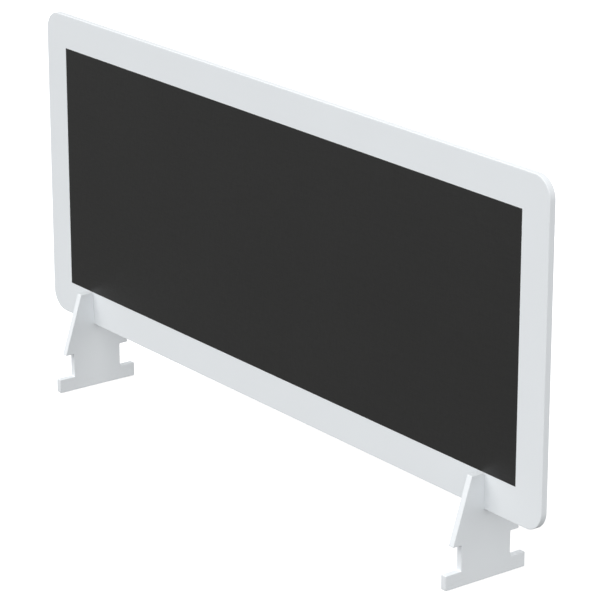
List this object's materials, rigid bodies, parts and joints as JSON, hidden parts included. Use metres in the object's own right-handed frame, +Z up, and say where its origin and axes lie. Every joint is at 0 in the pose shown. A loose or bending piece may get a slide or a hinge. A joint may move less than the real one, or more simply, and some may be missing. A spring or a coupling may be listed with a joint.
{
  "type": "desk privacy panel",
  "caption": "Free-standing desk screen: a flat white-framed board with charcoal fields on both faces, lapped onto slotted plate feet that it lifts straight off.",
  "frame": {"origin": "on the desk top, under the middle of the panel, level with the undersides of the foot pads", "axes": "+X along the panel, -Y towards the front face, +Z up"},
  "size_m": [1.4732, 0.1758, 0.7388],
  "materials": {
    "white_laminate": "smooth satin laminate, cool white",
    "white_edge_band": "satin edge band with rounded edges, cool white",
    "charcoal_facing": "satin charcoal facing with a fine embossed grain",
    "fibreboard": "raw brown fibreboard",
    "white_foot_sheet": "satin white sheet with softly rounded edges",
    "pad_rubber": "matt translucent grey"
  },
  "bodies": {
    "left_foot": {"left_foot_plate": "white_foot_sheet", "left_front_pad": "pad_rubber", "left_rear_pad": "pad_rubber"},
    "panel": {"core_board": "fibreboard", "front_frame": "white_laminate", "rear_frame": "white_laminate", "front_inlay_facing": "charcoal_facing", "rear_inlay_facing": "charcoal_facing", "front_inlay_board": "fibreboard", "rear_inlay_board": "fibreboard", "outer_edge_band": "white_edge_band", "bottom_edge_band": "white_edge_band"},
    "right_foot": {"right_foot_plate": "white_foot_sheet", "right_front_pad": "pad_rubber", "right_rear_pad": "pad_rubber"}
  },
  "joints": [
    {"name": "panel_lift", "type": "slide", "parent": "left_foot", "child": "panel", "axis": [0, 0, 1], "range_m": [0, 0.05]},
    {"name": "right_foot_release", "type": "slide", "parent": "panel", "child": "right_foot", "axis": [0, 0, -1], "range_m": [0, 0.05]}
  ],
  "couplings": [
    {"joint": "right_foot_release", "follows": "panel_lift", "ratio": 1}
  ]
}
